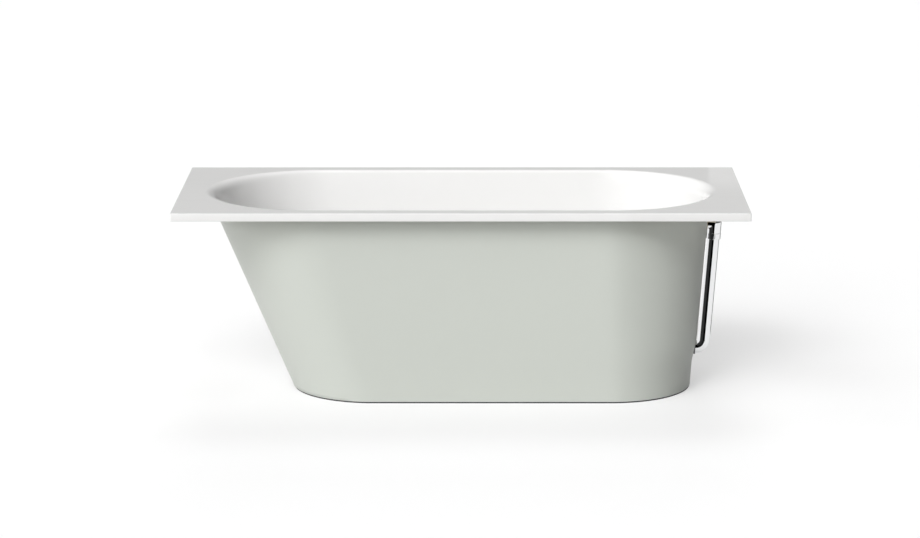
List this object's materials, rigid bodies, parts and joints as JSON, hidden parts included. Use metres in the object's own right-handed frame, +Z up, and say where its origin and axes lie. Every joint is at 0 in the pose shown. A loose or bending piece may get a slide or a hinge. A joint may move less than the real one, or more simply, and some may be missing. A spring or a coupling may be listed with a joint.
{
  "type": "alcove bathtub",
  "caption": "White bathtub with a flat rectangular rim, an oval basin, a tapered sage skirt to the floor and a chrome overflow pipe down the foot end.",
  "frame": {"origin": "on the floor, under the middle of the rim", "axes": "+X along the tub to the foot (drain and overflow) end, -Y to the front, +Z up"},
  "size_m": [1.7, 0.75, 0.605],
  "materials": {
    "white_gloss": "high gloss white sanitary acrylic",
    "sage_satin": "satin sage green-grey lacquered sheet",
    "dark_rubber": "matt black rubber",
    "grey_rubber": "matt grey rubber",
    "board": "raw chipboard sealed with resin",
    "batten": "planed softwood",
    "cradle_steel": "grey powder coat",
    "zinc_steel": "zinc plated",
    "rough_brass": "cast and drawn brass, unplated",
    "acetal": "natural acetal",
    "cable_sheath": "black plastic sheath",
    "foot_plastic": "moulded black plastic",
    "plated": "polished chrome plate"
  },
  "bodies": {
    "tub": {"base_board": "board", "basin": "white_gloss", "board_screws": "zinc_steel", "cable_guide": "acetal", "channel_bolts": "zinc_steel", "channel_nuts": "zinc_steel", "drain_flange": "plated", "drain_gasket": "dark_rubber", "elbow_slip_nut": "plated", "elbow_slip_washer": "dark_rubber", "faceplate_screws": "zinc_steel", "floor_seal": "dark_rubber", "foot_lock_nuts": "zinc_steel", "foot_nuts": "zinc_steel", "frame_rail_back": "cradle_steel", "frame_rail_front": "cradle_steel", "leg_channel_foot": "cradle_steel", "leg_channel_head": "cradle_steel", "lever_pin": "zinc_steel", "outer_skirt": "sage_satin", "overflow_body": "rough_brass", "overflow_elbow": "plated", "overflow_faceplate": "plated", "overflow_gasket_inner": "dark_rubber", "overflow_gasket_outer": "dark_rubber", "overflow_grommet": "grey_rubber", "overflow_pipe": "plated", "pipe_grommet": "grey_rubber", "pull_cable": "cable_sheath", "rim_batten_back": "batten", "rim_batten_foot": "batten", "rim_batten_front": "batten", "rim_batten_head": "batten", "shoe_gasket": "dark_rubber", "skirt_screws": "zinc_steel", "tailpiece": "rough_brass", "tee_slip_nuts": "rough_brass", "tee_slip_washers": "dark_rubber", "waste_shoe": "rough_brass", "waste_tee": "rough_brass"},
    "knob": {"overflow_knob": "plated", "knob_spindle": "rough_brass", "cable_crank": "acetal"},
    "plug": {"plug_cap": "plated", "plug_seal": "dark_rubber", "plug_stem": "rough_brass"},
    "lever": {"lift_lever": "rough_brass"},
    "foot_head_front": {"foot_pad_head_front": "foot_plastic"},
    "stud_head_front": {"foot_stud_head_front": "zinc_steel"},
    "foot_head_back": {"foot_pad_head_back": "foot_plastic"},
    "stud_head_back": {"foot_stud_head_back": "zinc_steel"},
    "foot_foot_front": {"foot_pad_foot_front": "foot_plastic"},
    "stud_foot_front": {"foot_stud_foot_front": "zinc_steel"},
    "foot_foot_back": {"foot_pad_foot_back": "foot_plastic"},
    "stud_foot_back": {"foot_stud_foot_back": "zinc_steel"}
  },
  "joints": [
    {"name": "knob_turn", "type": "hinge", "parent": "tub", "child": "knob", "pos_m": [0.73223, 0, 0.505], "axis": [0.9972, 0, -0.075], "range_deg": [0, 90]},
    {"name": "plug_lift", "type": "slide", "parent": "tub", "child": "plug", "axis": [0, 0, 1], "range_m": [0, 0.01]},
    {"name": "lever_turn", "type": "hinge", "parent": "tub", "child": "lever", "pos_m": [0.476, 0, 0.106], "axis": [0, 1, 0], "range_deg": [0, 22.6]},
    {"name": "foot_height_head_front", "type": "slide", "parent": "tub", "child": "foot_head_front", "axis": [0, 0, -1], "range_m": [-0.01, 0.015]},
    {"name": "stud_turn_head_front", "type": "hinge", "parent": "foot_head_front", "child": "stud_head_front", "pos_m": [-0.36, -0.17996, 0.02], "axis": [0, 0, -1], "range_deg": [-2058, 3087]},
    {"name": "foot_height_head_back", "type": "slide", "parent": "tub", "child": "foot_head_back", "axis": [0, 0, -1], "range_m": [-0.01, 0.015]},
    {"name": "stud_turn_head_back", "type": "hinge", "parent": "foot_head_back", "child": "stud_head_back", "pos_m": [-0.36, 0.17996, 0.02], "axis": [0, 0, -1], "range_deg": [-2058, 3087]},
    {"name": "foot_height_foot_front", "type": "slide", "parent": "tub", "child": "foot_foot_front", "axis": [0, 0, -1], "range_m": [-0.01, 0.015]},
    {"name": "stud_turn_foot_front", "type": "hinge", "parent": "foot_foot_front", "child": "stud_foot_front", "pos_m": [0.34, -0.17996, 0.02], "axis": [0, 0, -1], "range_deg": [-2058, 3087]},
    {"name": "foot_height_foot_back", "type": "slide", "parent": "tub", "child": "foot_foot_back", "axis": [0, 0, -1], "range_m": [-0.01, 0.015]},
    {"name": "stud_turn_foot_back", "type": "hinge", "parent": "foot_foot_back", "child": "stud_foot_back", "pos_m": [0.34, 0.17996, 0.02], "axis": [0, 0, -1], "range_deg": [-2058, 3087]}
  ],
  "couplings": [
    {"joint": "plug_lift", "follows": "knob_turn", "m_per_rad": 0.006366},
    {"joint": "lever_turn", "follows": "knob_turn", "ratio": 0.2511},
    {"joint": "stud_turn_head_front", "follows": "foot_height_head_front", "rad_per_m": 3590.4},
    {"joint": "stud_turn_head_back", "follows": "foot_height_head_back", "rad_per_m": 3590.4},
    {"joint": "stud_turn_foot_front", "follows": "foot_height_foot_front", "rad_per_m": 3590.4},
    {"joint": "stud_turn_foot_back", "follows": "foot_height_foot_back", "rad_per_m": 3590.4}
  ]
}
